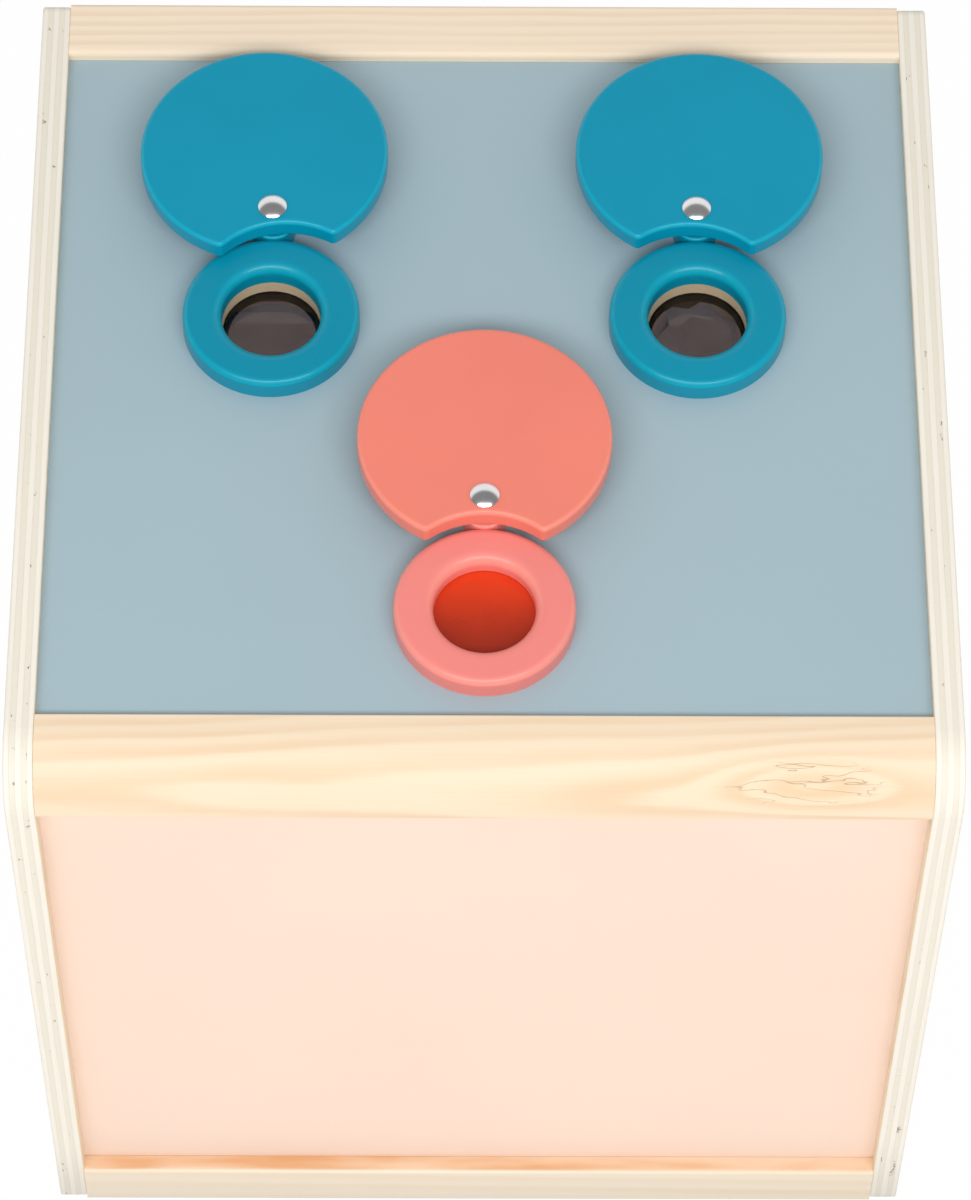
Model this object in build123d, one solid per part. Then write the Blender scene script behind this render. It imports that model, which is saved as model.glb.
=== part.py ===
"""A wooden peep box: a kaleidoscope case with three eyepieces, each with a turning cover.

Millimetres. +X is right, +Y is towards the back, +Z is up.
The origin is on the ground, under the middle of the case.
Depths are measured from the front of the case and heights from the ground.
"""
from build123d import *
import math
import os

# --- case
CASE_W = 300.0          # outside width
CASE_D = 304.0          # outside depth
CASE_H = 306.0          # height of the wooden case
SIDE_T = 9.5            # plywood of the side panels
STOCK_T = 21.5          # rail stock, thin way
STOCK_W = 23.5          # rail stock, wide way
FRONT_RAIL_W = 25.5     # front top rail, front to back
FRONT_ROUND = 20.0      # round-over of the front top edge
CORNER_R = 4.0          # other corners of the side panels
ARRIS = 0.8             # sanded edges of the plywood
RAIL_EDGE = 2.0         # sanded edges of the rails
PANEL_T = 5.0           # painted top panel
FRONT_T = 5.0           # painted front panel
BACK_T = 5.0            # back panel
FLOOR_T = 5.0           # floor panel
TOP_RECESS = 4.0        # top panel below the case's top
FRONT_RECESS = 6.0      # front panel behind the case's front
BACK_RECESS = 6.0       # back panel in front of the case's back
FLOOR_Z = 12.0          # underside of the floor panel
GROOVE = 4.0            # how deep the panels sit in the frame
PANEL_FIT = 0.1         # clearance round a panel in its groove
WINDOW_W = 190.0        # opening in the back panel
WINDOW_H = 150.0
WINDOW_R = 30.0

# --- dowels between rails and side panels
DOWEL_R = 3.0
DOWEL_PITCH = 8.0
DOWEL_IN_SIDE = 6.0
DOWEL_IN_RAIL = 18.0
DOWEL_FIT = 0.05
DOWEL_LAND = 1.0        # wood left between a dowel and a groove

# --- eyepieces
RING_R = 29.0
RING_H = 8.0
BORE_R = 16.2
RING_OUTER_EDGE = 2.7
RING_INNER_EDGE = 4.0
EAR_R = 7.2             # lug of the ring that carries the pivot
EAR_EDGE = 1.0
PIVOT_TO_RING = 35.6    # pivot to the middle of the ring
BACK_EYE_X = 69.8       # half the distance between the two back eyepieces
BACK_EYE_DEPTH = 175.3
FRONT_EYE_DEPTH = 63.3

# --- covers
COVER_R = 41.0
COVER_T = 7.0
COVER_TOP_EDGE = 1.8
COVER_BOTTOM_EDGE = 0.8
PIVOT_TO_COVER = 23.5   # pivot to the middle of the disc
BITE_R = 29.2           # round bite that bares the ring
BITE_CORNER_R = 2.2
LEFT_REST_TURN = 7.9    # how far each cover stands turned, in degrees
RIGHT_REST_TURN = -3.6
FRONT_REST_TURN = 0.0

# --- pivots
PIN_R = 2.0
PIN_RUNNING_FIT = 0.06
PIN_HEAD_R = 4.7
PIN_HEAD_H = 2.3
PIN_HEAD_GAP = 0.05
PIN_TAIL = 1.2          # pin past the nut
WASHER_R = 4.5
WASHER_T = 0.6
NUT_WASHER_T = 0.8
NUT_FLATS = 7.0
NUT_T = 3.2

# --- filter in the front eyepiece
FILTER_R = 18.4
FILTER_T = 1.6
FILTER_FIT = 0.1

# --- lenses and their holders, under the top panel
LENS_R = 18.0
LENS_RIM_T = 2.0
LENS_CROWN_R = 15.6
LENS_CROWN_H = 2.6
LENS_FIT = 0.1
LENS_DROP = 1.2         # lens rim below the top panel
STRIP_W = 4.7           # width of one facet of the striped lens
STRIP_TILTS = (4.0, 8.0, 12.0)
FACET_TILT = 6.0        # inner facets of the many-sided lens; the outer ones double it
FACET_COUNT = 6
FACET_TURN = 14.0
INNER_FACET_R = 5.2     # where the inner and the outer facets begin
OUTER_FACET_R = 10.6
CLIP_T = 1.6
CLIP_INNER_R = 14.5
HOLDER_R = 20.4
HOLDER_FLANGE_R = 22.0
HOLDER_FLANGE_T = 2.0
LUG_R = 4.0

# --- screws up through the top panel into the rings
SCREW_CIRCLE_R = 23.6
SCREW_ANGLES = (-90.0, 30.0, 150.0)
SCREW_R = 1.4
SCREW_L = 12.0
SCREW_HEAD_R = 2.8
SCREW_HEAD_H = 1.8
SCREW_HEAD_ROUND = 1.1
SCREW_FIT = 0.05
SCREW_POINT_L = 2.1      # tapered end of a screw
SCREW_POINT_R = 0.35
HEAD_ROOM = 5.4          # room kept clear below a screw's seat

CUT_PAST = 1.0           # how far a cut runs past the faces it opens

# --- levels and edges that follow
INNER_X = CASE_W / 2 - SIDE_T
TOP_Z = CASE_H - TOP_RECESS
TOP_UNDER_Z = TOP_Z - PANEL_T
RING_TOP_Z = TOP_Z + RING_H
COVER_Z = RING_TOP_Z + WASHER_T
COVER_TOP_Z = COVER_Z + COVER_T
FRONT_RAIL_Z = CASE_H - STOCK_T
BACK_RAIL_Z = CASE_H - STOCK_W
BACK_RAIL_DEPTH = CASE_D - STOCK_T
SHOULDER_Z = TOP_UNDER_Z - LENS_DROP
LENS_UNDER_Z = SHOULDER_Z - LENS_RIM_T
NUT_UNDER_Z = TOP_UNDER_Z - NUT_WASHER_T - NUT_T


def at_depth(depth):
    """The Y of a place that lies that far behind the front of the case."""
    return depth - CASE_D / 2


def slab(x, depth, z):
    """A block from its (low, high) limits in X, depth and Z."""
    size = [limits[1] - limits[0] for limits in (x, depth, z)]
    middle = [sum(limits) / 2 for limits in (x, depth, z)]
    return Pos(middle[0], at_depth(middle[1]), middle[2]) * Box(*size)


def upright(radius, low, high, x=0.0, y=0.0):
    """A round bar standing from one height to another."""
    return Pos(x, y, (low + high) / 2) * Cylinder(radius, high - low)


def sideways(radius, length, x, depth, z):
    """A round bar along X, centred at a place."""
    return Pos(x, at_depth(depth), z) * Rot(0, 90, 0) * Cylinder(radius, length)


# --- panels, as their limits in X, depth and Z
GROOVED_X = (-INNER_X - GROOVE, INNER_X + GROOVE)
TOP_PANEL = (
    GROOVED_X,
    (FRONT_RAIL_W - GROOVE, BACK_RAIL_DEPTH + GROOVE),
    (TOP_UNDER_Z, TOP_Z),
)
FRONT_PANEL = (
    GROOVED_X,
    (FRONT_RECESS, FRONT_RECESS + FRONT_T),
    (STOCK_W - GROOVE, FRONT_RAIL_Z + GROOVE),
)
BACK_PANEL = (
    GROOVED_X,
    (CASE_D - BACK_RECESS - BACK_T, CASE_D - BACK_RECESS),
    (STOCK_W - GROOVE, BACK_RAIL_Z + GROOVE),
)
FLOOR_PANEL = (
    GROOVED_X,
    (STOCK_T - GROOVE, CASE_D - STOCK_T + GROOVE),
    (FLOOR_Z, FLOOR_Z + FLOOR_T),
)


def groove_cut(limits):
    """The space that a panel needs in the frame round it."""
    grown = [(low - PANEL_FIT, high + PANEL_FIT) for low, high in limits]
    return slab(*grown)


def cut_grooves(piece):
    for limits in (TOP_PANEL, FRONT_PANEL, BACK_PANEL, FLOOR_PANEL):
        piece -= groove_cut(limits)
    return piece


# --- dowels: two in each end of each rail, clear of the grooves
def dowel_places():
    """(depth, height) of every dowel on one side of the case."""
    half = DOWEL_PITCH / 2
    inset = GROOVE + PANEL_FIT + DOWEL_LAND + DOWEL_R
    front_top = (FRONT_RAIL_W - inset - half, FRONT_RAIL_Z + inset)
    back_top = (BACK_RAIL_DEPTH + inset, BACK_RAIL_Z + inset + half)
    bottom_z = (STOCK_W - inset + DOWEL_R + DOWEL_LAND) / 2
    front_bottom = (STOCK_T - inset, bottom_z)
    back_bottom = (CASE_D - STOCK_T + inset, bottom_z)
    places = [(front_top[0] - half, front_top[1]), (front_top[0] + half, front_top[1])]
    for depth, z in (back_top, front_bottom, back_bottom):
        places += [(depth, z - half), (depth, z + half)]
    return places


def dowel_bars(fit=0.0):
    """The dowels of both sides, grown by a fit to make their holes."""
    length = DOWEL_IN_SIDE + DOWEL_IN_RAIL + 2 * fit
    middle = INNER_X + (DOWEL_IN_SIDE - DOWEL_IN_RAIL) / 2
    bars = []
    for side in (-1, 1):
        for depth, z in dowel_places():
            bars.append(sideways(DOWEL_R + fit, length, side * middle, depth, z))
    return bars


def drill(piece, bars):
    for bar in bars:
        piece -= bar
    return piece


# --- side panels and rails, with the pickers of their long edges
def front_high(edge):
    return edge.center().Y - edge.center().Z


def front_low(edge):
    return edge.center().Y + edge.center().Z


def back_high(edge):
    return -edge.center().Y - edge.center().Z


def back_low(edge):
    return edge.center().Z - edge.center().Y


def side_panel(side):
    """A plywood side: rounded where the front top edge is, grooved inside."""
    low, high = sorted((side * INNER_X, side * CASE_W / 2))
    board = slab((low, high), (0, CASE_D), (0, CASE_H))
    corners = board.edges().filter_by(Axis.X).sort_by(front_high)
    board = fillet(corners[1:], CORNER_R)
    corners = board.edges().filter_by(Axis.X).sort_by(front_high)
    board = fillet(corners[0], FRONT_ROUND)
    faces = board.faces().filter_by(Axis.X)
    board = fillet(faces[0].edges() + faces[-1].edges(), ARRIS)
    return drill(cut_grooves(board), dowel_bars(DOWEL_FIT))


def rail(depth, z, rounded):
    """A pine rail between the sides; rounded gives (edge picker, radius) pairs."""
    bar = slab((-INNER_X, INNER_X), depth, z)
    for pick, radius in rounded:
        long_edges = bar.edges().filter_by(Axis.X)
        bar = fillet(long_edges.sort_by(pick)[0], radius)
    return drill(cut_grooves(bar), dowel_bars(DOWEL_FIT))


# --- plain panels
def back_panel():
    """The back, with a wide window that lets in light and hands."""
    panel = slab(*BACK_PANEL)
    middle_z = (STOCK_W + BACK_RAIL_Z) / 2
    outline = RectangleRounded(WINDOW_W, WINDOW_H, WINDOW_R)
    window = extrude(Plane.XZ * outline, BACK_T * 2, both=True)
    middle_depth = sum(BACK_PANEL[1]) / 2
    return panel - Pos(0, at_depth(middle_depth), middle_z) * window


# --- eyepieces: the X and Y of each ring's middle, and of each pivot behind it
EYES = {
    "left": (-BACK_EYE_X, at_depth(BACK_EYE_DEPTH)),
    "right": (BACK_EYE_X, at_depth(BACK_EYE_DEPTH)),
    "front": (0.0, at_depth(FRONT_EYE_DEPTH)),
}
PIVOTS = {name: (x, y + PIVOT_TO_RING) for name, (x, y) in EYES.items()}


def screw_places(eye):
    x, y = EYES[eye]
    places = []
    for angle in SCREW_ANGLES:
        turn = math.radians(angle)
        reach = (SCREW_CIRCLE_R * math.cos(turn), SCREW_CIRCLE_R * math.sin(turn))
        places.append((x + reach[0], y + reach[1]))
    return places


def seat_z(eye):
    """Where a screw's head bears: on the lens holder, or on the bare panel."""
    return TOP_UNDER_Z if eye == "front" else TOP_UNDER_Z - HOLDER_FLANGE_T


def screw_holes(eye):
    holes = []
    for x, y in screw_places(eye):
        low, high = seat_z(eye) - SCREW_FIT, seat_z(eye) + SCREW_L + SCREW_FIT
        holes.append(upright(SCREW_R + SCREW_FIT, low, high, x, y))
    return holes


def pivot_hole(eye):
    radius = PIN_R + PIN_RUNNING_FIT
    return upright(radius, NUT_UNDER_Z - CUT_PAST, COVER_TOP_Z + CUT_PAST, *PIVOTS[eye])


def ring(eye):
    """A turned ring with a lug behind it that carries the cover's pivot."""
    outline = Rectangle(RING_R - BORE_R, RING_H, align=(Align.MIN, Align.MIN))
    outline = Pos(BORE_R, 0) * outline
    outline = fillet(outline.vertices().group_by(Axis.Y)[-1].sort_by(Axis.X)[-1], RING_OUTER_EDGE)
    outline = fillet(outline.vertices().group_by(Axis.X)[0].sort_by(Axis.Y)[-1], RING_INNER_EDGE)
    body = revolve(Plane.XZ * outline, Axis.Z)
    ear = Pos(0, PIVOT_TO_RING, RING_H / 2) * Cylinder(EAR_R, RING_H)
    ear = fillet(ear.faces().sort_by(Axis.Z)[-1].edges(), EAR_EDGE)
    body += ear - upright(BORE_R + RING_INNER_EDGE, -CUT_PAST, RING_H + CUT_PAST)
    if eye == "front":
        body -= Cylinder(FILTER_R + FILTER_FIT, 2 * (FILTER_T + FILTER_FIT))
    body = Pos(*EYES[eye], TOP_Z) * body
    return drill(body, screw_holes(eye)) - pivot_hole(eye)


def top_panel():
    panel = slab(*TOP_PANEL)
    for eye, (x, y) in EYES.items():
        panel -= upright(BORE_R, TOP_UNDER_Z - CUT_PAST, TOP_Z + CUT_PAST, x, y)
        panel = drill(panel, screw_holes(eye)) - pivot_hole(eye)
    return panel


def cover(eye, turn):
    """A round lid with a round bite, turned about its pivot to where it rests."""
    shape = Pos(0, PIVOT_TO_COVER) * Circle(COVER_R)
    shape -= Pos(0, -PIVOT_TO_RING) * Circle(BITE_R)
    shape = fillet(shape.vertices(), BITE_CORNER_R)
    lid = extrude(shape, COVER_T)
    lid = fillet(lid.faces().sort_by(Axis.Z)[-1].edges(), COVER_TOP_EDGE)
    lid = fillet(lid.faces().sort_by(Axis.Z)[0].edges(), COVER_BOTTOM_EDGE)
    lid = Pos(*PIVOTS[eye], COVER_Z) * Rot(0, 0, turn) * lid
    return lid - pivot_hole(eye)


def pivot_pin(eye):
    """A domed pin through the cover, the ring's lug and the top panel."""
    head_z = COVER_TOP_Z + PIN_HEAD_GAP
    sphere_r = (PIN_HEAD_R**2 + PIN_HEAD_H**2) / (2 * PIN_HEAD_H)
    head = Pos(0, 0, head_z + PIN_HEAD_H - sphere_r) * Sphere(sphere_r)
    head &= upright(PIN_HEAD_R, head_z, head_z + PIN_HEAD_H)
    shank = upright(PIN_R, NUT_UNDER_Z - PIN_TAIL, head_z)
    return Pos(*PIVOTS[eye], 0) * (head + shank)


def washers(radius, low, high):
    """The same washer at all three pivots."""
    discs = []
    for eye, (x, y) in PIVOTS.items():
        discs.append(upright(radius, low, high, x, y) - pivot_hole(eye))
    return discs


def pivot_nuts():
    outline = RegularPolygon(NUT_FLATS / 2, 6, major_radius=False)
    nuts = []
    for eye, (x, y) in PIVOTS.items():
        nut = extrude(outline, NUT_T)
        nut = Pos(x, y, NUT_UNDER_Z) * nut
        nuts.append(nut - pivot_hole(eye))
    return nuts


def eyepiece_screws():
    screws = []
    for eye in EYES:
        z = seat_z(eye)
        for x, y in screw_places(eye):
            head = upright(SCREW_HEAD_R, z - SCREW_HEAD_H, z, x, y)
            head = fillet(head.faces().sort_by(Axis.Z)[0].edges(), SCREW_HEAD_ROUND)
            shank = upright(SCREW_R, z, z + SCREW_L - SCREW_POINT_L, x, y)
            point = Cone(SCREW_R, SCREW_POINT_R, SCREW_POINT_L)
            point = Pos(x, y, z + SCREW_L - SCREW_POINT_L / 2) * point
            screws.append(head + shank + point)
    return screws


# --- filter, lenses and holders
def front_filter():
    return upright(FILTER_R, TOP_Z, TOP_Z + FILTER_T, *EYES["front"])


def lens_holder(eye):
    """A flanged cup under the panel, with a shoulder that the lens stands against."""
    x, y = EYES[eye]
    under = LENS_UNDER_Z - CLIP_T
    cup = upright(HOLDER_R, under, TOP_UNDER_Z)
    flange_z = (TOP_UNDER_Z - HOLDER_FLANGE_T, TOP_UNDER_Z)
    cup += upright(HOLDER_FLANGE_R, *flange_z)
    for angle in SCREW_ANGLES:
        lug = Pos(SCREW_CIRCLE_R, 0) * upright(LUG_R, *flange_z)
        cup += Rot(0, 0, angle) * lug
    cup -= upright(BORE_R, under - CUT_PAST, TOP_UNDER_Z + CUT_PAST)
    cup -= upright(LENS_R + LENS_FIT, under - CUT_PAST, SHOULDER_Z)
    return drill(Pos(x, y, 0) * cup, screw_holes(eye) + screw_heads_room(eye))


def screw_heads_room(eye):
    """Room beside the cup for the heads of the screws."""
    z = seat_z(eye)
    radius = SCREW_HEAD_R + SCREW_FIT * 2
    return [upright(radius, z - HEAD_ROOM, z, x, y) for x, y in screw_places(eye)]


def lens_blank():
    """The lens before its facets are cut: a rim and a crown above it."""
    return upright(LENS_R, -LENS_RIM_T, 0) + upright(LENS_CROWN_R, 0, LENS_CROWN_H)


def half_space(reach, height, tilt, azimuth):
    """All that is above a plane through a point at that reach and height."""
    size = 6 * LENS_R
    block = Pos(0, 0, size / 2) * Box(size, size, size)
    return Rot(0, 0, azimuth) * Pos(reach, 0, height) * Rot(0, tilt, 0) * block


def striped_lens():
    """Flat facets side by side, which repeat a view up and down."""
    lens = lens_blank()
    reach, height = STRIP_W / 2, LENS_CROWN_H
    for tilt in STRIP_TILTS:
        for azimuth in (90, -90):
            lens -= half_space(reach, height, tilt, azimuth)
        height -= STRIP_W * math.tan(math.radians(tilt))
        reach += STRIP_W
    return lens


def many_sided_lens():
    """One facet in the middle and two rings of six, which scatter a view."""
    lens = lens_blank()
    fall = (OUTER_FACET_R - INNER_FACET_R) * math.tan(math.radians(FACET_TILT))
    step = 360 / FACET_COUNT
    for number in range(FACET_COUNT):
        azimuth = number * step + FACET_TURN
        lens -= half_space(INNER_FACET_R, LENS_CROWN_H, FACET_TILT, azimuth)
        outer = half_space(OUTER_FACET_R, LENS_CROWN_H - fall, 2 * FACET_TILT, azimuth + step / 2)
        lens -= outer
    return lens


def place_lens(lens, eye):
    return Pos(*EYES[eye], SHOULDER_Z) * lens


def lens_clips():
    """Snap rings that hold the lenses up in their holders."""
    clips = []
    for eye in ("left", "right"):
        outer = upright(LENS_R + LENS_FIT / 2, LENS_UNDER_Z - CLIP_T, LENS_UNDER_Z)
        clip = outer - upright(CLIP_INNER_R, LENS_UNDER_Z - CLIP_T - CUT_PAST, LENS_UNDER_Z + CUT_PAST)
        clips.append(Pos(*EYES[eye], 0) * clip)
    return clips


PARTS = {
    "left_side_panel": side_panel(-1),
    "right_side_panel": side_panel(1),
    "front_top_rail": rail(
        (0, FRONT_RAIL_W),
        (FRONT_RAIL_Z, CASE_H),
        [(front_high, FRONT_ROUND), (back_high, ARRIS), (front_low, ARRIS)],
    ),
    "back_top_rail": rail(
        (BACK_RAIL_DEPTH, CASE_D),
        (BACK_RAIL_Z, CASE_H),
        [(back_high, RAIL_EDGE), (front_high, RAIL_EDGE), (back_low, ARRIS)],
    ),
    "front_bottom_rail": rail(
        (0, STOCK_T),
        (0, STOCK_W),
        [(front_high, RAIL_EDGE), (front_low, ARRIS)],
    ),
    "back_bottom_rail": rail(
        (CASE_D - STOCK_T, CASE_D),
        (0, STOCK_W),
        [(back_high, RAIL_EDGE), (back_low, ARRIS)],
    ),
    "top_panel": top_panel(),
    "front_panel": slab(*FRONT_PANEL),
    "back_panel": back_panel(),
    "floor_panel": slab(*FLOOR_PANEL),
    "rail_dowels": dowel_bars(),
    "left_eye_ring": ring("left"),
    "right_eye_ring": ring("right"),
    "front_eye_ring": ring("front"),
    "left_cover": cover("left", LEFT_REST_TURN),
    "right_cover": cover("right", RIGHT_REST_TURN),
    "front_cover": cover("front", FRONT_REST_TURN),
    "left_pivot_pin": pivot_pin("left"),
    "right_pivot_pin": pivot_pin("right"),
    "front_pivot_pin": pivot_pin("front"),
    "cover_washers": washers(WASHER_R, RING_TOP_Z, COVER_Z),
    "nut_washers": washers(WASHER_R, TOP_UNDER_Z - NUT_WASHER_T, TOP_UNDER_Z),
    "pivot_nuts": pivot_nuts(),
    "eyepiece_screws": eyepiece_screws(),
    "front_filter": front_filter(),
    "left_lens": place_lens(striped_lens(), "left"),
    "right_lens": place_lens(many_sided_lens(), "right"),
    "left_lens_holder": lens_holder("left"),
    "right_lens_holder": lens_holder("right"),
    "lens_clips": lens_clips(),
}

os.makedirs("parts", exist_ok=True)
for name, shape in PARTS.items():
    if isinstance(shape, list):
        shape = Compound(children=shape)
    export_step(shape, f"parts/{name}.step")
    box = shape.bounding_box()
    print(name, "volume", round(shape.volume), "size", box.size)
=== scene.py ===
# %% [markdown]
# # A peep-box kaleidoscope in wood
# The toy is a box about 300 mm each way. Its sides are birch plywood, its rails are pine, and its top
# and front are painted board. A child looks down into it through three round eyepieces, and each
# eyepiece has a round lid that swings on a pin with a bright domed head. The frame below holds every
# piece at its real size, and this lesson gives the pieces their finishes, adds the fine hardware, and
# sets up the studio. The frame could also be copied and reshaped here, but then the looks and the
# working model would drift apart, so it is loaded once and only its finishes are changed.

# %% Load the frame
import math

import bpy
from mathutils import Matrix, Vector


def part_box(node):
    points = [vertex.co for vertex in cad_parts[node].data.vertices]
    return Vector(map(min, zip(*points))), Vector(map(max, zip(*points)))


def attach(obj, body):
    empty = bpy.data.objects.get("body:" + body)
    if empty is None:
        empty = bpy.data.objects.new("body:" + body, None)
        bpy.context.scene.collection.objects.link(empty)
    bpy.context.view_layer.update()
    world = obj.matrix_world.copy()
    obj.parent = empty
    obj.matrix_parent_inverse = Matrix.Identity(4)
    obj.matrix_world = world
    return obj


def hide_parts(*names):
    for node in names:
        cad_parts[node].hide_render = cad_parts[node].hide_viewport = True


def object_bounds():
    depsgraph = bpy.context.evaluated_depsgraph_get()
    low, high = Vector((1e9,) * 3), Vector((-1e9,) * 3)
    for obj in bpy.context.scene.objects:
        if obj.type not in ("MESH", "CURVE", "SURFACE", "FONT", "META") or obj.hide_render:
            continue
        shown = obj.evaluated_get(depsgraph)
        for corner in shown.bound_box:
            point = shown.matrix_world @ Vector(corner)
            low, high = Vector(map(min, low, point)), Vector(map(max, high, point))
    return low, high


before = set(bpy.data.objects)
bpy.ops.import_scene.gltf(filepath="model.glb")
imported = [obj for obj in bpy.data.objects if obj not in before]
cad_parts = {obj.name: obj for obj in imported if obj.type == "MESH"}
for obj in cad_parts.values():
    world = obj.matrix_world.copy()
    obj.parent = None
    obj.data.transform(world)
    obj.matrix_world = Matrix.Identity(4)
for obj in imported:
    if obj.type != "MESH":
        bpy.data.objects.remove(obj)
bare_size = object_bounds()
MM = 0.001
SIDES = ("left", "right", "front")


def middle(node):
    """The centre of a frame piece, in metres."""
    low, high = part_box(node)
    return (low + high) / 2


def in_mm(corners):
    """The width, depth and height between two corners, rounded for printing."""
    return [round(side / MM, 1) for side in corners[1] - corners[0]]


print("frame pieces:", len(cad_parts), "size in mm:", in_mm(bare_size))

# %% [markdown]
# ## The camera
# The box is seen from above and in front, through a long lens, so it narrows only a little towards its
# foot. A camera could be aimed with a Track To constraint. Here its three axes are worked out from a
# tilt, a small turn and a small roll, because each of those can then be set by itself.

# %% Camera
CAMERA_PLACE = Vector((-10.5, -935.2, 1716.4)) * MM
CAMERA_TILT = math.radians(58.25)
CAMERA_TURN = math.radians(0.71)
CAMERA_ROLL = math.radians(0.80)
LENS = 156.1
LENS_SHIFT = -0.05
SENSOR_WIDTH = 36


def camera_axes(tilt, turn, roll):
    """The camera's right, up and backward directions."""
    forward = Vector((math.sin(turn) * math.cos(tilt), math.cos(turn) * math.cos(tilt), -math.sin(tilt)))
    level_right = Vector((math.cos(turn), -math.sin(turn), 0))
    level_up = level_right.cross(forward)
    right = level_right * math.cos(roll) + level_up * math.sin(roll)
    up = level_up * math.cos(roll) - level_right * math.sin(roll)
    return right, up, -forward


camera = bpy.data.objects.new("camera", bpy.data.cameras.new("camera"))
bpy.context.scene.collection.objects.link(camera)
turned_axes = Matrix(camera_axes(CAMERA_TILT, CAMERA_TURN, CAMERA_ROLL)).transposed()
camera.matrix_world = Matrix.Translation(CAMERA_PLACE) @ turned_axes.to_4x4()
camera.data.lens = LENS
camera.data.sensor_width = SENSOR_WIDTH
camera.data.shift_y = LENS_SHIFT
bpy.context.scene.camera = camera
bpy.context.scene.view_settings.view_transform = "Standard"
print("camera", round(CAMERA_PLACE.length, 2), "m from the middle of the base")

# %% [markdown]
# ## Sums as nodes
# A finish is a chain of nodes, and most of the chain is arithmetic. Placing every Math node by hand
# makes a long script that hides what it works out. The small class Value wraps a socket, and Python's
# own operators add the Math nodes, so that 1 - mask reads as what it is. Colours don't go through Math
# nodes, which would turn them grey, so blend() mixes those.

# %% Values and graphs
class Value:
    """What comes out of one socket. An operator on it adds the Math node that works out the result."""

    def __init__(self, graph, socket):
        self.graph = graph
        self.socket = socket

    def __add__(self, other):
        return self.graph.maths("ADD", self, other)

    def __radd__(self, other):
        return self.graph.maths("ADD", other, self)

    def __sub__(self, other):
        return self.graph.maths("SUBTRACT", self, other)

    def __rsub__(self, other):
        return self.graph.maths("SUBTRACT", other, self)

    def __mul__(self, other):
        return self.graph.maths("MULTIPLY", self, other)

    def __rmul__(self, other):
        return self.graph.maths("MULTIPLY", other, self)

    def __truediv__(self, other):
        return self.graph.maths("DIVIDE", self, other)

    def __pow__(self, other):
        return self.graph.maths("POWER", self, other)

    def __abs__(self):
        return self.graph.maths("ABSOLUTE", self)

    def __neg__(self):
        return self.graph.maths("MULTIPLY", self, -1)


class Graph:
    """A node tree that is filled through one method, node()."""

    def __init__(self, tree):
        self.tree = tree

    def node(self, kind, settings=None, inputs=None, output=0):
        """Adds a node: first its settings, then its sockets, and returns one output, or all in a list."""
        made = self.tree.nodes.new(kind)
        for name, value in (settings or {}).items():
            setattr(made, name, value)
        for name, value in (inputs or {}).items():
            self.feed(made.inputs[name], value)
        if output == "all":
            return [Value(self, socket) for socket in made.outputs]
        return Value(self, made.outputs[output])

    def feed(self, socket, value):
        """Links a value to a socket, or sets the socket to a plain number, colour or vector."""
        if isinstance(value, Value):
            self.tree.links.new(value.socket, socket)
        else:
            socket.default_value = value

    def maths(self, operation, *values):
        return self.node("ShaderNodeMath", {"operation": operation}, dict(enumerate(values)))

    def smooth(self, value, low, high):
        """0 below low, 1 above high, and a soft step between them."""
        ends = {"Value": value, "From Min": low, "From Max": high}
        return self.node("ShaderNodeMapRange", {"interpolation_type": "SMOOTHSTEP"}, ends)

    def band(self, value, low, high, soft):
        """1 between low and high, with soft sides outside them."""
        return self.smooth(value, low - soft, low) * (1 - self.smooth(value, high, high + soft))

    def blend(self, share, first, second):
        """The first colour where share is 0 and the second where it is 1."""
        return self.node("ShaderNodeMix", {"data_type": "RGBA"}, {0: share, 6: first, 7: second}, 2)

    def parts(self, vector):
        return self.node("ShaderNodeSeparateXYZ", None, {0: vector}, "all")

    def stretch(self, vector, scales):
        """A vector with each axis multiplied by its own scale."""
        return self.node("ShaderNodeVectorMath", {"operation": "MULTIPLY"}, {0: vector, 1: scales})

    def noise(self, vector, scale, detail=2.0, roughness=0.5):
        """Soft random values from 0 to 1, about 1 / scale apart."""
        sockets = {"Vector": vector, "Scale": scale, "Detail": detail, "Roughness": roughness}
        return self.node("ShaderNodeTexNoise", None, sockets)

    def light_path(self):
        """What kind of ray meets a point, by the names on the Light Path node."""
        return {value.socket.name: value for value in self.node("ShaderNodeLightPath", None, None, "all")}


def colour(red, green, blue):
    """A colour written as on a paint chart, from 0 to 255, as the light values that a shader takes."""
    shares = [part / 255 for part in (red, green, blue)]
    return (*[s / 12.92 if s <= 0.04045 else ((s + 0.055) / 1.055) ** 2.4 for s in shares], 1.0)


print("a mid grey is", round(colour(128, 128, 128)[0], 3), "as light")

# %% [markdown]
# ## The studio
# The toy stands on a white floor under one wide soft box in front and a pale dome of light. Three point
# lamps would give hard, dark shadows that a painted toy never shows in a catalogue. The dome is white
# for the camera and low down for reflections, so that the pin heads mirror a white room, and grey
# overhead and in front, where a studio is dark, so that flat paint keeps its depth. The floor shines
# for the camera only, which keeps it white. It is clear from below and for rays that are shorter than
# UNDER_TOY, so that the underside of the toy is lit when someone looks at it from there.

# %% World, floor and lamps
DOME_LIGHT = 0.56
HIGH_GREY = 0.26
GREY_WAY = Vector((0, -0.743, 0.669))
GREY_EDGE = (-0.12, 0.16)
FLOOR_HALF = 4.0
FLOOR_GAP = 0.0002
UNDER_TOY = 0.05
FLOOR_WHITE = 0.98


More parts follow.
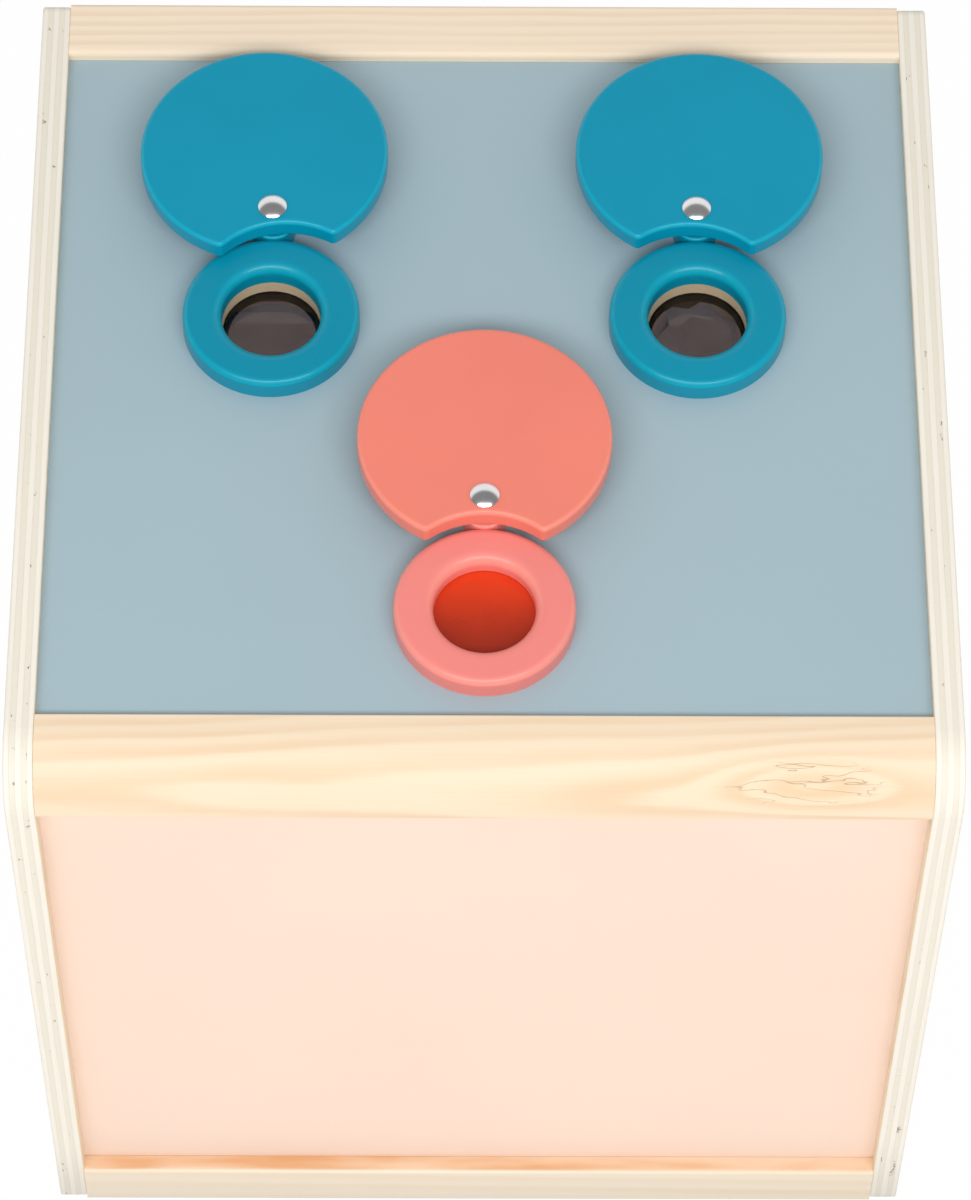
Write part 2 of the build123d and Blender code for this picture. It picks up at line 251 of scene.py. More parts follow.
def light_dome():
    world = bpy.data.worlds.new("studio")
    world.use_nodes = True
    bpy.context.scene.world = world
    dome = Graph(world.node_tree)
    path = dome.light_path()
    way = dome.node("ShaderNodeTexCoord", None, None, "Generated")
    pair = {0: way, 1: GREY_WAY}
    toward = dome.node("ShaderNodeVectorMath", {"operation": "DOT_PRODUCT"}, pair, "Value")
    mirrored = 1 - dome.smooth(toward, *GREY_EDGE) * (1 - HIGH_GREY)
    direct = dome.maths("MAXIMUM", path["Is Camera Ray"], path["Is Transmission Ray"])
    plain = (1 - direct) * (1 - path["Is Glossy Ray"])
    strength = direct + path["Is Glossy Ray"] * (1 - direct) * mirrored + plain * DOME_LIGHT
    background = world.node_tree.nodes["Background"]
    dome.feed(background.inputs["Color"], (1, 1, 1, 1))
    dome.feed(background.inputs["Strength"], strength)


def white_floor():
    mesh = bpy.data.meshes.new("floor")
    around = [(-1, -1), (1, -1), (1, 1), (-1, 1)]
    corners = [(x * FLOOR_HALF, y * FLOOR_HALF, -FLOOR_GAP) for x, y in around]
    mesh.from_pydata(corners, [], [(0, 1, 2, 3)])
    floor = bpy.data.objects.new("floor", mesh)
    bpy.context.scene.collection.objects.link(floor)
    material = bpy.data.materials.new("floor_white")
    material.use_nodes = True
    paper = Graph(material.node_tree)
    paper.tree.nodes.remove(paper.tree.nodes["Principled BSDF"])
    lit = paper.node("ShaderNodeBsdfDiffuse", None, {"Color": colour(246, 246, 246)})
    glow = paper.node("ShaderNodeEmission", None, {"Color": (1, 1, 1, 1), "Strength": 1.0})
    path = paper.light_path()
    white = path["Is Camera Ray"] * FLOOR_WHITE
    mixed = paper.node("ShaderNodeMixShader", None, {0: white, 1: lit, 2: glow})
    clear = paper.node("ShaderNodeBsdfTransparent")
    from_below = paper.node("ShaderNodeNewGeometry", None, None, "Backfacing")
    under_toy = paper.maths("LESS_THAN", path["Ray Length"], UNDER_TOY)
    share = paper.maths("MAXIMUM", from_below, under_toy)
    seen = paper.node("ShaderNodeMixShader", None, {0: share, 1: mixed, 2: clear})
    paper.feed(paper.tree.nodes["Material Output"].inputs["Surface"], seen)
    mesh.materials.append(material)


def soft_box(name, height_angle, distance, width, depth, watts):
    """A wide lamp in front of the toy that looks at its top."""
    lamp = bpy.data.lights.new(name, "AREA")
    lamp.shape = "RECTANGLE"
    lamp.size = width
    lamp.size_y = depth
    lamp.energy = watts
    rig = bpy.data.objects.new(name, lamp)
    above = math.radians(height_angle)
    way = Vector((0, -math.cos(above), math.sin(above)))
    rig.rotation_mode = "QUATERNION"
    rig.rotation_quaternion = way.to_track_quat("Z", "Y")
    rig.location = Vector((0, 0, bare_size[1].z)) + way * distance
    bpy.context.scene.collection.objects.link(rig)


light_dome()
white_floor()
soft_box("front_soft_box", height_angle=47, distance=1.7, width=2.2, depth=0.4, watts=21)
print("lamps:", len(bpy.data.lights))

# %% [markdown]
# ## A finish
# Each finish is one Principled shader, fed by values that change over the surface. Where the pattern
# sits is told by Object coordinates, in millimetres here, because wood grain and plywood layers run
# through the piece and don't stop at a face. An unwrapped texture would need a seam at each edge.

# %% Finish
class Finish(Graph):
    """A material, with the place and the facing of each point of the surface ready to use."""

    def __init__(self, name, fixed=None):
        self.material = bpy.data.materials.new(name)
        self.material.use_nodes = True
        super().__init__(self.material.node_tree)
        self.shader = self.tree.nodes["Principled BSDF"]
        self.set(fixed or {})
        spot = self.node("ShaderNodeTexCoord", None, None, "Object")
        self.place = self.node("ShaderNodeVectorMath", {"operation": "SCALE"}, {0: spot, "Scale": 1 / MM})
        self.x, self.y, self.z = self.parts(self.place)
        facing = self.node("ShaderNodeTexCoord", None, None, "Normal")
        self.facing_x, self.facing_y, self.facing_z = self.parts(facing)

    def set(self, sockets):
        for name, value in sockets.items():
            self.feed(self.shader.inputs[name], value)

    def bump(self, height):
        """Raises the surface by a height in millimetres."""
        sockets = {"Height": height, "Distance": MM, "Strength": 1.0}
        self.feed(self.shader.inputs["Normal"], self.node("ShaderNodeBump", None, sockets))


def coat(finish, *nodes):
    """Puts a finish on pieces of the frame."""
    for name in nodes:
        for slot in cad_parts[name].material_slots:
            slot.material = finish.material
    print(finish.material.name, "on", ", ".join(nodes))


# %% [markdown]
# ## Paint
# The lids and rings are sprayed in a satin colour, and the top and front boards are rolled, which
# leaves a finer, duller skin. Paint could be one colour, but real paint drifts a little in tone over
# a board, has a faint orange-peel, and is thinner and paler where it runs over an edge. On the lids and
# rings the paler edge is also a painted highlight, for the soft box lighting their rounded edges. All
# three are small, and without them a painted face looks like plastic.

# %% Paint on lids and rings
DRIFT_SCALE = 0.018
PEEL_SCALE = 0.55
PEEL_HEIGHT = 0.012


def paint(name, tone, thin_and_lit_edge, gloss):
    """A coat of paint. tone is its colour and gloss its roughness. thin_and_lit_edge is its paler colour
    on rounded edges: thinner paint there, and a painted highlight where the rounding catches the light.
    """
    finish = Finish(name, {"Coat Weight": 0.1, "Coat Roughness": 0.12, "Specular IOR Level": 0.25})
    drift = finish.noise(finish.place, DRIFT_SCALE, 3)
    speck = finish.noise(finish.place, 0.35, 4, 0.65)
    rounded = finish.band(finish.facing_z, 0.35, 0.8, 0.18)
    deep = [part * 0.95 for part in tone[:3]] + [1]
    body = finish.blend(finish.smooth(drift, 0.3, 0.7), deep, tone)
    # Paler rounded edges: thinner paint, and a painted highlight where the soft box lights the rounding.
    thin_paint_and_sheen = rounded * (0.3 + speck * 0.5)
    finish.set({"Base Color": finish.blend(thin_paint_and_sheen, body, thin_and_lit_edge)})
    finish.set({"Roughness": gloss + (speck - 0.5) * 0.12 + (drift - 0.5) * 0.08})
    finish.bump(finish.noise(finish.place, PEEL_SCALE, 2) * PEEL_HEIGHT)
    return finish


LID_GLOSS = 0.34
RING_GLOSS = 0.3
lid_blue = paint("blue_paint", colour(0, 152, 184), colour(8, 178, 204), LID_GLOSS)
ring_blue = paint("blue_ring_paint", colour(0, 146, 175), colour(4, 172, 196), RING_GLOSS)
lid_coral = paint("coral_paint", colour(246, 136, 118), colour(253, 156, 136), LID_GLOSS)
ring_coral = paint("coral_ring_paint", colour(246, 141, 133), colour(253, 160, 146), RING_GLOSS)
coat(lid_blue, "left_cover", "right_cover")
coat(ring_blue, "left_eye_ring", "right_eye_ring")
coat(lid_coral, "front_cover")
coat(ring_coral, "front_eye_ring")

# %% [markdown]
# ## Painted boards
# The top and front boards are painted on their faces only, and the raw board shows in the holes cut
# through them. The facing of a point tells a face from a cut, so one finish does both.

# %% Boards with raw cuts
ROLLER_SCALE = 0.9
ROLLER_HEIGHT = 0.02
RAW_BOARD = colour(222, 196, 160)
RAW_BOARD_DARK = [part * 0.7 for part in RAW_BOARD[:3]] + [1]
RAW_ROUGHNESS = 0.85


def painted_board(name, tone, face, gloss):
    """Rolled paint on a board's faces. face is how squarely a point looks along the board's thickness."""
    finish = Finish(name)
    square = face(finish)
    painted = finish.smooth(square, 0.75, 0.92)
    drift = finish.noise(finish.place, 0.009, 3)
    stipple = finish.noise(finish.place, ROLLER_SCALE, 3, 0.6)
    fibre = finish.noise(finish.stretch(finish.place, (0.4, 0.4, 2.2)), 1.0, 4, 0.7)
    deep = [part * 0.975 for part in tone[:3]] + [1]
    body = finish.blend(finish.smooth(drift, 0.3, 0.7), deep, tone)
    cut = finish.blend(fibre, RAW_BOARD_DARK, RAW_BOARD)
    finish.set({"Base Color": finish.blend(painted, cut, body)})
    finish.set({"Roughness": RAW_ROUGHNESS - painted * (RAW_ROUGHNESS - gloss) + (stipple - 0.5) * 0.1})
    finish.bump(stipple * ROLLER_HEIGHT + (1 - painted) * fibre * 0.15)
    return finish


def facing_up(finish):
    return abs(finish.facing_z)


def facing_front(finish):
    return abs(finish.facing_y)


TOP_GLOSS = 0.5
WALL_GLOSS = 0.55
coat(painted_board("top_paint", colour(167, 190, 199), facing_up, TOP_GLOSS), "top_panel")
coat(painted_board("front_paint", colour(251, 223, 204), facing_front, WALL_GLOSS), "front_panel")
coat(painted_board("back_paint", colour(252, 226, 208), facing_front, WALL_GLOSS), "back_panel")

# %% [markdown]
# ## Pine
# A rail is sawn along the tree, so its grain is the year rings cut lengthways. They could be drawn as
# stripes, but stripes don't turn into the pointed arches that a flat-sawn board shows. Here the rings
# are real cylinders round the tree's centre line, which leans a little against the rail. Wherever the
# surface cuts them, they come out as lines on one face and as arches on the next. A knot pushes the
# rings aside and has small dark cracks of its own.

# %% Pine
FIBRE_STRETCH = (0.012, 1.6, 1.6)
EARLY_PINE = colour(250, 231, 206)
LATE_PINE = colour(238, 204, 164)
KNOT_TONE = colour(240, 208, 164)
KNOT_CRACK = colour(168, 134, 104)


def pine(node, heart, lean, ring_width, early, late, knot=None, top_face_shade=None):
    """Pine along X on one rail. heart is where the tree's centre passes x = 0, as (y, z) from the rail's
    middle, and lean is how it drifts. knot is a place from the middle, a size and a push on the rings.
    top_face_shade is painted shade: a darker, more orange colour on the rail's top face."""
    finish = Finish("pine_" + node)
    centre = middle(node) / MM
    sway = finish.noise(finish.stretch(finish.place, (0.008, 0.03, 0.03)), 1.0, 1)
    ripple = finish.noise(finish.stretch(finish.place, (0.022, 0.12, 0.12)), 1.0, 2)
    across = finish.y - (centre.y + heart[0]) - finish.x * lean[0]
    above = finish.z - (centre.z + heart[1]) - finish.x * lean[1]
    radius = (across * across + above * above) ** 0.5 + sway * 5 + ripple * 1.2
    crack = 0
    if knot:
        spot, size, push = knot
        axes = (finish.x, finish.y, finish.z)
        offsets = [(axis - at) / wide for axis, at, wide in zip(axes, centre + Vector(spot), size)]
        squares = [offset * offset for offset in offsets]
        near = finish.maths("EXPONENT", -(squares[0] + squares[1] + squares[2]))
        radius = radius + near * push
        wave = finish.noise(finish.stretch(finish.place, (0.045, 0.3, 0.3)), 1.0, 2, 0.5)
        split = finish.band(wave, 0.498, 0.502, 0.008)
        crack = split * finish.smooth(near, 0.25, 0.6)
    ring = finish.maths("FRACT", radius / ring_width)
    dense = finish.smooth(ring, 0.1, 0.72) * (1 - finish.smooth(ring, 0.76, 1.0))
    fibre = finish.noise(finish.stretch(finish.place, FIBRE_STRETCH), 1.0, 3, 0.7)
    patch = finish.noise(finish.stretch(finish.place, (0.008, 0.05, 0.05)), 1.0, 2)
    share = dense * (patch * 1.1 - 0.1) + (fibre - 0.5) * 0.35
    tone = finish.blend(finish.maths("MINIMUM", finish.maths("MAXIMUM", share, 0), 1), early, late)
    # Painted shade: the top face, in the recess under the front panel, is made darker and more orange.
    if top_face_shade:
        shaded_top = finish.smooth(finish.facing_z, 0.6, 0.95)
        tone = finish.blend(shaded_top * (finish.smooth(ripple, 0.3, 0.7) * 0.5 + 0.4), tone, top_face_shade)
    if knot:
        tone = finish.blend(near * 0.3, tone, KNOT_TONE)
        tone = finish.blend(crack * 0.6, tone, KNOT_CRACK)
    finish.set({"Base Color": tone})
    finish.set({"Roughness": 0.62 - dense * 0.1 + (fibre - 0.5) * 0.15})
    finish.bump(fibre * 0.03 - dense * 0.012 - crack * 0.08)
    coat(finish, node)


pine(
    "front_top_rail",
    heart=(42.25, -29.25),
    lean=(0.022, -0.013),
    ring_width=3.1,
    early=colour(245, 223, 194),
    late=colour(230, 194, 152),
    knot=((100, -6.75, 2.75), (26, 8, 8), 6),
)
pine(
    "back_top_rail",
    heart=(60, -30),
    lean=(0.02, 0.01),
    ring_width=3.4,
    early=colour(252, 233, 208),
    late=colour(240, 213, 180),
)
pine(
    "front_bottom_rail",
    heart=(-34.75, -29.75),
    lean=(0.03, -0.045),
    ring_width=7.0,
    early=colour(251, 236, 214),
    late=colour(246, 222, 190),
    # painted shade on the top face, in the recess under the front panel
    top_face_shade=colour(222, 160, 104),
)
pine("back_bottom_rail", (40, 25), (0.03, 0.02), 3.6, EARLY_PINE, LATE_PINE)

# %% [markdown]
# ## Plywood
# Plywood is thin sheets of birch, each with its grain across the next. A broad face shows one sheet
# with long, quiet figure. An edge shows them all: every second one cut along the grain, pale and
# smooth, and the others across it, a little darker, with pores and now and then a small gap. Painting
# lines on the edge would leave them where they are when the panel's thickness changes. The layers are
# counted from the panel's inner face instead.

# %% Plywood
PLIES = 5
GLUE_SHARE = 0.07
BIRCH = colour(240, 224, 196)
BIRCH_FIGURE = colour(224, 199, 162)
EDGE_PALE = colour(247, 241, 228)
EDGE_DARK = colour(231, 223, 205)
GLUE = colour(208, 197, 172)
GAP = colour(122, 110, 84)


def plywood(name, depth, facing, thickness, grain):
    """Birch plywood. depth tells how deep a point lies in the panel, in mm, and facing tells faces."""
    finish = Finish(name)
    layer = depth(finish) / thickness * PLIES
    number = finish.maths("FLOOR", layer)
    within = layer - number
    crosswise = finish.maths("PINGPONG", number, 1)
    glue = 1 - finish.band(within, GLUE_SHARE, 1 - GLUE_SHARE, GLUE_SHARE)
    broad = finish.smooth(abs(facing(finish)), 0.8, 0.95)
    along = finish.noise(finish.stretch(finish.place, (0.9, 0.02, 0.02)), 1.0, 4, 0.65)
    pores = finish.noise(finish.place, 0.9, 4, 0.75)
    rare = finish.noise(finish.stretch(finish.place, (0.3, 0.16, 0.16)), 1.0, 3, 0.6)
    hollow = finish.smooth(rare, 0.655, 0.70) * finish.smooth(pores, 0.42, 0.6) * crosswise
    edge = finish.blend(crosswise * (0.35 + pores * 0.5), EDGE_PALE, EDGE_DARK)
    edge = finish.blend(finish.smooth(along, 0.4, 0.9) * 0.5 * (1 - crosswise), edge, EDGE_DARK)
    edge = finish.blend(glue * finish.smooth(along, 0.3, 0.8) * 0.6, edge, GLUE)
    edge = finish.blend(hollow * 0.8, edge, GAP)
    sway = finish.noise(finish.stretch(finish.place, grain), 1.0, 1, 0.4)
    figure = finish.maths("FRACT", sway * 9)
    figure = finish.smooth(figure, 0.35, 0.8) * (1 - finish.smooth(figure, 0.85, 1.0))
    fleck = finish.noise(finish.stretch(finish.place, [g * 14 for g in grain]), 1.0, 3, 0.7)
    face = finish.blend(figure * 0.45 + (fleck - 0.5) * 0.5, BIRCH, BIRCH_FIGURE)
    finish.set({"Base Color": finish.blend(broad, edge, face)})
    finish.set({"Roughness": 0.6 + (pores - 0.5) * 0.2})
    rough_edge = (1 - broad) * (crosswise * pores * 0.06 - glue * 0.03 - hollow * 0.25)
    finish.bump(rough_edge + fleck * 0.015)
    return finish


side_low, side_high = [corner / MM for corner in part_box("right_side_panel")]
side_ply = plywood(
    "side_plywood",
    lambda finish: abs(finish.x) - side_low.x,
    lambda finish: finish.facing_x,
    side_high.x - side_low.x,
    (0.02, 0.026, 0.0035),
)
coat(side_ply, "left_side_panel", "right_side_panel")
floor_low, floor_high = [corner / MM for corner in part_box("floor_panel")]
floor_ply = plywood(
    "floor_plywood",
    lambda finish: finish.z - floor_low.z,
    lambda finish: finish.facing_z,
    floor_high.z - floor_low.z,
    (0.006, 0.035, 0.02),
)
coat(floor_ply, "floor_panel")

# %% [markdown]
# ## Beech dowels
# A dowel runs along X, and its wood shows fine pores and the short dark flecks that mark beech. The
# dowels sit inside the joints and show only when the box is taken apart. A plain brown would do till
# then, but a part in a library may well be taken apart.

# %% Beech
def beech(name):
    finish = Finish(name)
    fleck = finish.noise(finish.stretch(finish.place, (0.2, 1.8, 0.7)), 1.0, 4, 0.7)
    pores = finish.noise(finish.place, 3.0, 3, 0.7)
    marked = finish.smooth(fleck, 0.52, 0.66) * 0.7 + finish.smooth(pores, 0.5, 0.8) * 0.3
    finish.set({"Base Color": finish.blend(marked, colour(226, 188, 146), colour(180, 134, 96))})
    finish.set({"Roughness": 0.6 + (pores - 0.5) * 0.2})
    finish.bump(pores * 0.03)
    return finish


coat(beech("beech"), "rail_dowels")

# %% [markdown]
# ## Metal, nylon and moulded plastic
# The pin heads are polished and plated, the screws and nuts are zinc, and the washers are nylon. What
# tells them apart is how they scatter light, more than their colour, so each has its own roughness,
# with fine handling marks. The lens holders and snap rings are moulded in black plastic with a dull,
# sparked skin.

# %% Metals and plastics
def plated_metal(name, bright, dull, gloss, tint_scale):
    finish = Finish(name, {"Metallic": 1.0})
    cloud = finish.noise(finish.place, tint_scale, 3)
    marks = finish.noise(finish.stretch(finish.place, (6.0, 0.5, 3.0)), 1.0, 4, 0.75)
    finish.set({"Base Color": finish.blend(cloud, dull, bright)})
    finish.set({"Roughness": gloss + finish.smooth(marks, 0.5, 0.8) * 0.12})
    finish.bump(marks * 0.002)
    return finish


def moulded(name, tone, gloss, skin):
    finish = Finish(name)
    grain = finish.noise(finish.place, 2.4, 3, 0.6)
    cloud = finish.noise(finish.place, 0.08, 2)
    finish.set({"Base Color": finish.blend(cloud, [part * 0.75 for part in tone[:3]] + [1], tone)})
    finish.set({"Roughness": gloss + (grain - 0.5) * 0.2})
    finish.bump(grain * skin)
    return finish


chrome = plated_metal("plated_steel", colour(238, 236, 236), colour(222, 220, 222), 0.2, 0.2)
zinc = plated_metal("zinc_steel", colour(206, 208, 212), colour(176, 180, 188), 0.3, 0.5)
coat(moulded("nylon", colour(238, 234, 222), 0.45, 0.01), "cover_washers")
coat(zinc, "nut_washers")
black = moulded("black_plastic", colour(38, 36, 38), 0.42, 0.02)
coat(black, "left_lens_holder", "right_lens_holder", "lens_clips")

# %% [markdown]
# ## Lenses and filter
# The lenses are clear acrylic, moulded, not polished, so they waver a little. Their dark grey-brown
# tint is painted shade, for the dim inside of the box seen through them. The filter is orange acrylic
# with pigment in it: part of the light goes through and part is scattered back. Over the dark inside
# of the box that alone comes out nearly black, so the filter gets a weak light of its own. It stands in
# for daylight that comes up from inside, and it would also show in the dark. Its colour is painted
# lighter towards the back and darker towards the front, as painted light and shade from the ring's rim.

# %% Acrylic
GLOW = 0.17


def shade_tinted_acrylic(name):
    finish = Finish(name, {"Transmission Weight": 1.0, "IOR": 1.49})
    haze = finish.noise(finish.place, 0.12, 3)
    # Painted shade: a dark grey-brown tint stands for the dim inside of the box seen through the lens.
    finish.set({"Base Color": finish.blend(haze, colour(96, 86, 86), colour(118, 106, 106))})
    finish.set({"Roughness": 0.04 + haze * 0.08})
    finish.bump(finish.noise(finish.place, 0.3, 1) * 0.02)
    return finish


def pigmented_acrylic(name, node):
    """Orange acrylic. Its weak light is stronger, and its colour painted lighter, towards the back of the
    box.
    """
    finish = Finish(name, {"Transmission Weight": 0.62, "IOR": 1.49, "Emission Strength": GLOW})
    low, high = [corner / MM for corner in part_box(node)]
    cloud = finish.noise(finish.place, 0.1, 3)
    # Painted light and shade: colour and glow are lighter at the back and darker at the front, under the
    # rim.
    lit = finish.smooth(finish.y + (cloud - 0.5) * 8, low.y + 4, high.y + 2)
    painted_lit_pigment = finish.blend(lit, colour(196, 62, 30), colour(255, 88, 30))
    finish.set({"Base Color": painted_lit_pigment})
    finish.set({"Emission Color": finish.blend(lit, colour(120, 30, 12), colour(255, 60, 14))})
    finish.set({"Roughness": 0.08 + cloud * 0.08})
    finish.bump(finish.noise(finish.place, 0.5, 2) * 0.008)
    return finish


coat(shade_tinted_acrylic("clear_lens"), "left_lens", "right_lens")
coat(pigmented_acrylic("orange_filter", "front_filter"), "front_filter")

# %% [markdown]
# ## Hardware from Geometry Nodes
# Three pins, three nuts and nine screws repeat, so each is built once as a tree of nodes and set at
# its places by Instance on Points. Copies of an object would do as well, but a tree keeps the sizes as
# named inputs that anyone can turn. The tree ends in real mesh with its material on it, and the
# result is taken as a plain mesh.

# %% Trees for hardware
SHARP_ANGLE = math.radians(32)


class Hardware(Graph):
    """A Geometry Nodes tree that sets one shape at many places."""

    def __init__(self, name, sizes):
        super().__init__(bpy.data.node_groups.new(name, "GeometryNodeTree"))
        self.name = name
        self.sizes = sizes
        self.sockets = {}
        interface = self.tree.interface
        interface.new_socket("Geometry", in_out="INPUT", socket_type="NodeSocketGeometry")
        for size in sizes:
            made = interface.new_socket(size, in_out="INPUT", socket_type="NodeSocketFloat")
            self.sockets[size] = made.identifier
        interface.new_socket("Geometry", in_out="OUTPUT", socket_type="NodeSocketGeometry")
        self.places, *values = self.node("NodeGroupInput", None, None, "all")[: len(sizes) + 1]
        self.size = dict(zip(sizes, values))

    def at(self, x, y, z):
        return self.node("ShaderNodeCombineXYZ", None, {0: x, 1: y, 2: z})

    def moved(self, shape, z, turn=0.0):
        sockets = {"Geometry": shape, "Translation": self.at(0, 0, z), "Rotation": (0, 0, turn)}
        return self.node("GeometryNodeTransform", None, sockets)

    def rod(self, radius, low, high, sides):
        """An upright cylinder from one height to another."""
        sockets = {"Vertices": sides, "Radius": radius, "Depth": high - low}
        return self.moved(self.node("GeometryNodeMeshCylinder", None, sockets), (high + low) * 0.5)

    def cone(self, low_radius, high_radius, low, high, sides):
        radii = {"Radius Bottom": low_radius, "Radius Top": high_radius}
        sockets = {"Vertices": sides, "Depth": high - low, **radii}
        return self.moved(self.node("GeometryNodeMeshCone", None, sockets), low)

    def ball(self, radius, z, around, rings):
        """A sphere, turned by half a segment so that its edges miss those of a rod it is cut with."""
        sockets = {"Segments": around, "Rings": rings, "Radius": radius}
        return self.moved(self.node("GeometryNodeMeshUVSphere", None, sockets), z, math.pi / around)

    def common(self, *shapes):
        """What the shapes have in common."""
        return self.boolean("INTERSECT", None, shapes)

    def cut(self, shape, *tools):
        return self.boolean("DIFFERENCE", shape, tools)

    def boolean(self, operation, shape, tools):
        """One Mesh Boolean node. Its second socket takes any number of tools."""
        made = self.tree.nodes.new("GeometryNodeMeshBoolean")
        made.operation = operation
        made.solver = "EXACT"
        if shape:
            self.tree.links.new(shape.socket, made.inputs["Mesh 1"])
        for tool in tools:
            self.tree.links.new(tool.socket, made.inputs["Mesh 2"])
        return Value(self, made.outputs["Mesh"])

    def thread(self, radius, low, high, pitch, depth):
        """A helical ridge on a rod."""
        coil = {
            "Resolution": 20,
            "Rotations": (high - low) / pitch,
            "Start Radius": radius,
            "End Radius": radius,
            "Height": high - low,
        }
        line = self.moved(self.node("GeometryNodeCurveSpiral", None, coil), low)
        tooth = self.node("GeometryNodeCurvePrimitiveCircle", None, {"Resolution": 4, "Radius": depth})
        swept = {"Curve": line, "Profile Curve": tooth, "Fill Caps": True}
        return self.node("GeometryNodeCurveToMesh", None, swept)

    def joined(self, *shapes):
        made = self.tree.nodes.new("GeometryNodeJoinGeometry")
        for shape in shapes:
            self.tree.links.new(shape.socket, made.inputs[0])
        return Value(self, made.outputs[0])

    def build(self, shape, finish, places, slot, *nodes):
        """Sets the shape at its places, takes the result as a plain mesh, and puts it on the case."""
        cloud = self.node("GeometryNodeMeshToPoints", None, {"Mesh": self.places})
        set_down = self.node("GeometryNodeInstanceOnPoints", None, {"Points": cloud, "Instance": shape})
        real = self.node("GeometryNodeRealizeInstances", None, {"Geometry": set_down})
        crease = self.node("GeometryNodeInputMeshEdgeAngle", None, None, "Unsigned Angle")
        limits = {"A": crease, "B": SHARP_ANGLE}
        sharp = self.node("FunctionNodeCompare", {"operation": "GREATER_THAN"}, limits)
        smooth = self.node("GeometryNodeSetShadeSmooth", None, {"Geometry": real, "Shade Smooth": True})
        edges = {"Geometry": smooth, "Selection": sharp, "Shade Smooth": False}
        creased = self.node("GeometryNodeSetShadeSmooth", {"domain": "EDGE"}, edges)
        dressed = {"Geometry": creased, "Material": finish.material}
        done = self.node("GeometryNodeSetMaterial", None, dressed)
        self.node("NodeGroupOutput", None, {0: done}, "all")
        seeds = bpy.data.meshes.new(self.name + "_places")
        seeds.from_pydata(places, [], [])
        piece = bpy.data.objects.new(self.name, seeds)
        bpy.context.scene.collection.objects.link(piece)
        modifier = piece.modifiers.new(self.name, "NODES")
        modifier.node_group = self.tree
        for size, value in self.sizes.items():
            modifier[self.sockets[size]] = value * MM
        scene_now = bpy.context.evaluated_depsgraph_get()
        mesh = bpy.data.meshes.new_from_object(piece.evaluated_get(scene_now))
        piece.modifiers.remove(modifier)
        piece.data = mesh
        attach(piece, "case")
        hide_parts(*nodes)
        print(self.name, "at", len(places), "places,", len(mesh.polygons), "faces")


# %% [markdown]
# ## Pivot pins
# The head is a shallow dome on a short rim, as a pressed cap has. It is what a ball and a rod have in
# common, which keeps the dome a true part of a sphere, so that its reflections stay round. Below the
# lid the pin is a plain rod, and its end is threaded for the nut.

# %% Pins
PIN_HEAD_HEIGHT = 2.3
THREAD_ROOT = 0.9
SHANK_BODY = 0.92
pin_nodes = [side + "_pivot_pin" for side in SIDES]
pin_low, pin_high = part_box(pin_nodes[0])
head_foot = pin_high.z - PIN_HEAD_HEIGHT * MM
PIN = {
    "Head Radius": 4.7,
    "Head Height": PIN_HEAD_HEIGHT,
    "Rim Height": 0.5,
    "Shank Radius": 2.0,
    "Shank Length": (head_foot - pin_low.z) / MM,
    "Thread Length": 6.0,
    "Pitch": 0.7,
}
pins = Hardware("pivot_pins", PIN)
size = pins.size
rise = size["Head Height"] - size["Rim Height"]
ball_radius = (size["Head Radius"] * size["Head Radius"] + rise * rise) / (rise * 2)
ball = pins.ball(ball_radius, size["Head Height"] - ball_radius, 96, 128)
blank = pins.rod(size["Head Radius"], 0, size["Head Height"] * 1.5, 96)
head = pins.common(ball, blank)
shank = pins.rod(size["Shank Radius"] * SHANK_BODY, -size["Shank Length"], size["Rim Height"] * 0.5, 32)
ridge = pins.thread(
    size["Shank Radius"] * THREAD_ROOT,
    size["Pitch"] * 0.5 - size["Shank Length"],
    size["Thread Length"] - size["Shank Length"],
    size["Pitch"],
    size["Pitch"] * 0.25,
)
pin_places = [(middle(node).x, middle(node).y, head_foot) for node in pin_nodes]
pins.build(pins.joined(head, shank, ridge), chrome, pin_places, "plated_steel", *pin_nodes)

# %% [markdown]
# ## Screws under the rings
# Each ring is held by three pan-head screws that come up through the top panel. They are out of sight
# until the box is turned over, yet that is where a repair starts, so they have a real cross slot and
# a thread. The back ones sit lower, because they also hold a lens holder's flange.

# %% Screws
SCREW_CIRCLE = 23.6
SCREW_ANGLES = (-90, 30, 150)
PAN_ROUNDNESS = 1.35
SCREW_ROOT = 0.72
SCREW_POINT = 0.25
SCREW_RIDGE = 0.26
SCREW = {
    "Head Radius": 2.8,
    "Head Height": 1.8,
    "Slot Length": 3.0,
    "Slot Width": 0.6,
    "Slot Depth": 1.1,
    "Shank Radius": 1.4,
    "Shank Length": 12.0,
    "Pitch": 0.9,
}
screw_low, screw_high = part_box("eyepiece_screws")
front_foot = screw_high.z - (SCREW["Head Height"] + SCREW["Shank Length"]) * MM
SCREW_FEET = {"left_lens": screw_low.z, "right_lens": screw_low.z, "front_filter": front_foot}
screws = Hardware("eyepiece_fixings", SCREW)
size = screws.size
pan_radius = size["Head Radius"] * PAN_ROUNDNESS
pan_ball = screws.ball(pan_radius, pan_radius, 48, 40)
pan_rod = screws.rod(size["Head Radius"], 0, size["Head Height"], 48)
pan = screws.common(pan_ball, pan_rod)
slots = []
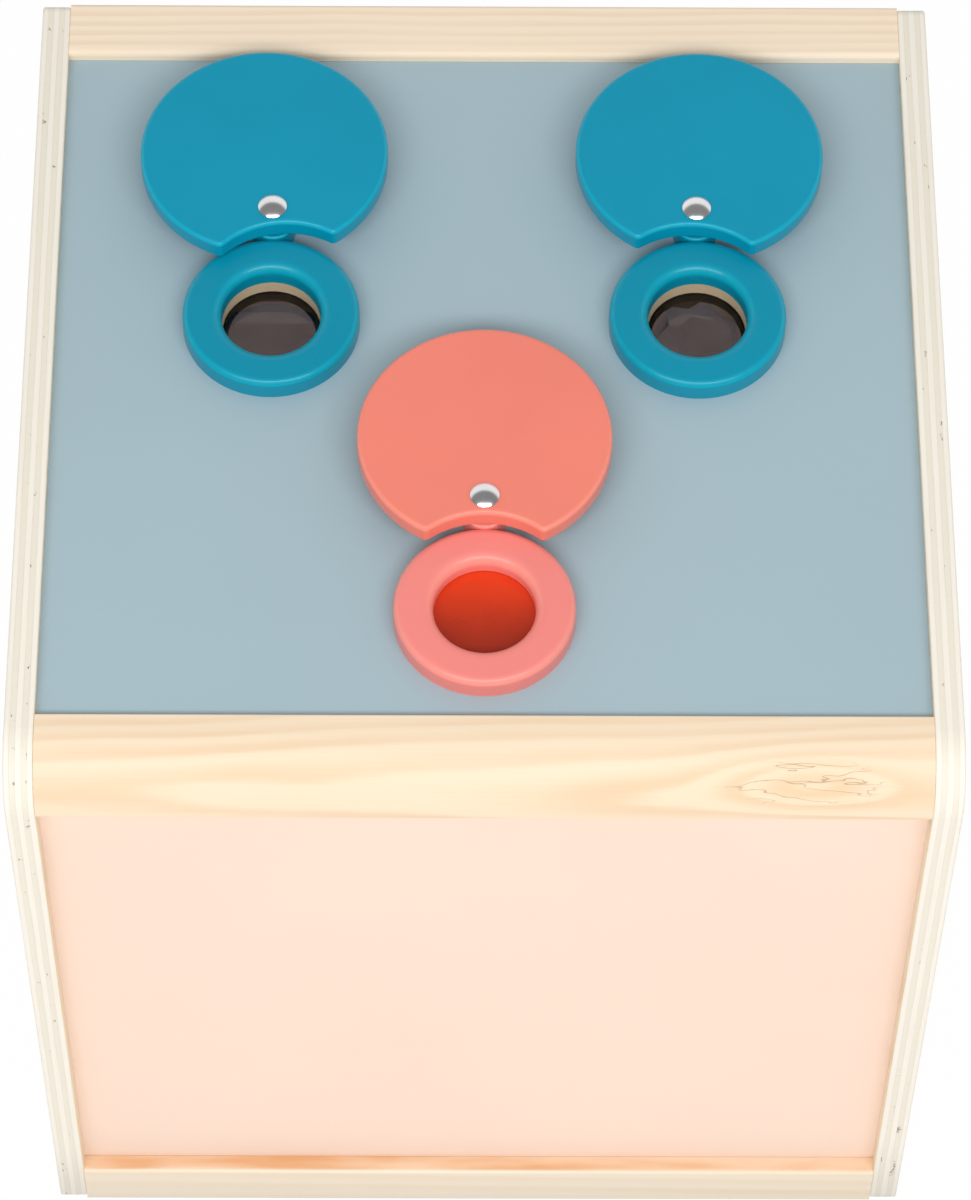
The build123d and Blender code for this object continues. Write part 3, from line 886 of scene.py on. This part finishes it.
for quarter_turn in (0.0, math.pi / 2):
    slot_size = screws.at(size["Slot Length"], size["Slot Width"], size["Slot Depth"] * 2)
    slot = screws.node("GeometryNodeMeshCube", None, {"Size": slot_size})
    slots.append(screws.moved(slot, 0.0, quarter_turn))
slotted = screws.cut(pan, *slots)
top_of_screw = size["Head Height"] + size["Shank Length"]
root_radius = size["Shank Radius"] * SCREW_ROOT
point_radius = size["Shank Radius"] * SCREW_POINT
core = screws.cone(root_radius, point_radius, size["Head Height"] * 0.9, top_of_screw, 24)
ridge = screws.thread(
    root_radius,
    size["Head Height"] + size["Pitch"],
    top_of_screw - size["Pitch"] * 1.6,
    size["Pitch"],
    size["Shank Radius"] * SCREW_RIDGE,
)
screw_places = []
for eye, foot in SCREW_FEET.items():
    for angle in SCREW_ANGLES:
        around = math.radians(angle)
        reach = Vector((math.cos(around), math.sin(around))) * SCREW_CIRCLE * MM
        screw_places.append((middle(eye).x + reach.x, middle(eye).y + reach.y, foot))
screws.build(screws.joined(slotted, core, ridge), zinc, screw_places, "zinc_steel", "eyepiece_screws")

# %% [markdown]
# ## Nuts on the pins
# A nut is a hexagon whose corners are turned away, with a bored middle. A bevel on all edges would be
# quicker, but it leaves the hexagon without the round shoulders of a real nut. What the hexagon has in
# common with a ball has them, above and below.

# %% Nuts
SHOULDER_REACH = 1.12
nut_low, nut_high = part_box("pivot_nuts")
NUT = {"Flats": 7.0, "Height": (nut_high.z - nut_low.z) / MM, "Bore": 1.95}
nuts = Hardware("pin_nuts", NUT)
size = nuts.size
corner = size["Flats"] / math.sqrt(3)
hexagon = nuts.rod(corner, 0, size["Height"], 6)
shoulder_ball = nuts.ball(corner * SHOULDER_REACH, size["Height"] * 0.5, 64, 48)
bore = nuts.rod(size["Bore"], -size["Height"], size["Height"] * 2, 32)
bored = nuts.cut(nuts.common(hexagon, shoulder_ball), bore)
nut_places = [(place[0], place[1], nut_low.z) for place in pin_places]
nuts.build(bored, zinc, nut_places, "zinc_steel", "pivot_nuts")
